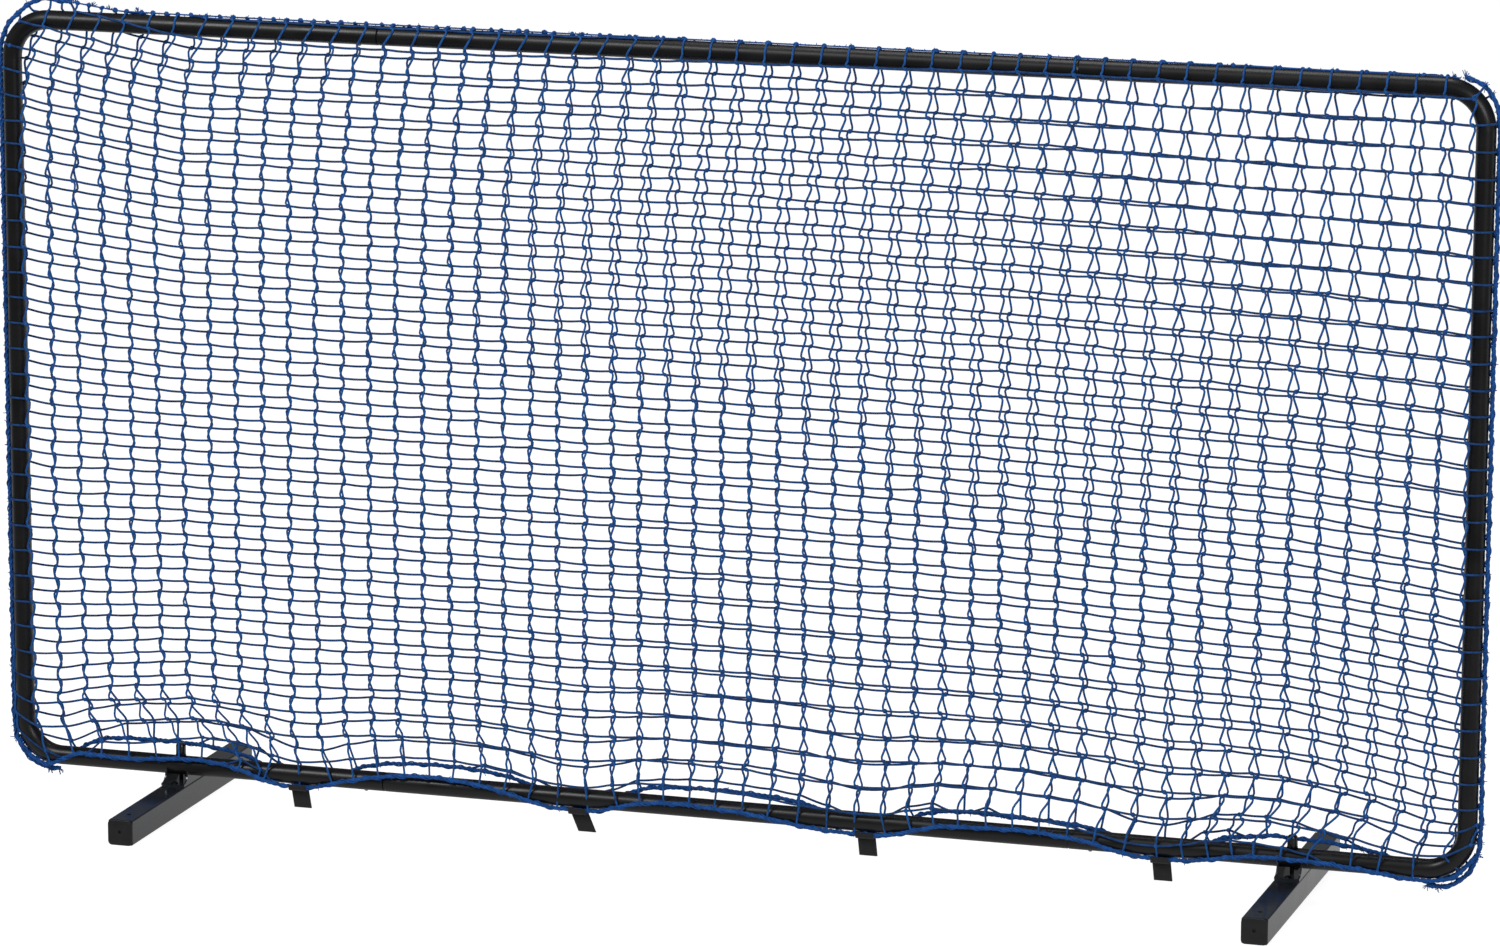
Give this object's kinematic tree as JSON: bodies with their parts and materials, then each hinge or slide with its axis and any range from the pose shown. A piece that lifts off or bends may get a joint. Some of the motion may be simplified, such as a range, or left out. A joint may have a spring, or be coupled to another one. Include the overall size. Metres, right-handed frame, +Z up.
{
  "type": "pitch back rebounder",
  "caption": "Free-standing ball rebounder: a rounded tube frame in a knotted net, strapped below, on two square feet.",
  "frame": {"origin": "on the floor, under the middle of the screen", "axes": "+X along the screen, +Y from the front net to the back net, +Z up"},
  "size_m": [3.0015, 0.64, 1.6226],
  "materials": {
    "frame_steel": "satin black powder coat",
    "foot_steel": "satin black powder coat",
    "cap_plastic": "matte",
    "cover_plastic": "glossy",
    "black_hardware": "black oxide",
    "bare_steel": "zinc plated",
    "spring_steel": "plain",
    "net_cord": "knotted cord",
    "net_rope": "laid rope",
    "webbing": "woven strap"
  },
  "bodies": {
    "screen": {"bottom_rail": "frame_steel", "bracket_left": "foot_steel", "bracket_right": "foot_steel", "bracket_screws": "black_hardware", "button_spring_bottom_left": "spring_steel", "button_spring_bottom_right": "spring_steel", "button_spring_top_left": "spring_steel", "button_spring_top_right": "spring_steel", "cap_rivets": "black_hardware", "end_cap_left_front": "cap_plastic", "end_cap_left_rear": "cap_plastic", "end_cap_right_front": "cap_plastic", "end_cap_right_rear": "cap_plastic", "end_frame_left": "frame_steel", "end_frame_right": "frame_steel", "fold_cord": "net_rope", "foot_left": "foot_steel", "foot_right": "foot_steel", "hem_back": "net_rope", "hem_front": "net_rope", "net_back": "net_cord", "net_front": "net_cord", "nut_covers": "cover_plastic", "rail_bolts": "black_hardware", "rail_nuts": "black_hardware", "saddle_washers": "black_hardware", "side_rope_left": "net_rope", "side_rope_right": "net_rope", "tie_strap_1": "webbing", "tie_strap_2": "webbing", "tie_strap_3": "webbing", "tie_strap_4": "webbing", "top_rail": "frame_steel", "weld_nuts": "bare_steel"},
    "bottom_left_button": {"snap_button_bottom_left": "bare_steel"},
    "bottom_right_button": {"snap_button_bottom_right": "bare_steel"},
    "top_left_button": {"snap_button_top_left": "bare_steel"},
    "top_right_button": {"snap_button_top_right": "bare_steel"}
  },
  "joints": [
    {"name": "bottom_left_press", "type": "slide", "parent": "screen", "child": "bottom_left_button", "axis": [0, 0, 1], "range_m": [0, 0.0049], "stiffness_N_per_m": 600, "springref_m": -0.004, "deforming": ["button_spring_bottom_left"]},
    {"name": "bottom_right_press", "type": "slide", "parent": "screen", "child": "bottom_right_button", "axis": [0, 0, 1], "range_m": [0, 0.0049], "stiffness_N_per_m": 600, "springref_m": -0.004, "deforming": ["button_spring_bottom_right"]},
    {"name": "top_left_press", "type": "slide", "parent": "screen", "child": "top_left_button", "axis": [0, 0, 1], "range_m": [0, 0.0049], "stiffness_N_per_m": 600, "springref_m": -0.004, "deforming": ["button_spring_top_left"]},
    {"name": "top_right_press", "type": "slide", "parent": "screen", "child": "top_right_button", "axis": [0, 0, 1], "range_m": [0, 0.0049], "stiffness_N_per_m": 600, "springref_m": -0.004, "deforming": ["button_spring_top_right"]}
  ]
}
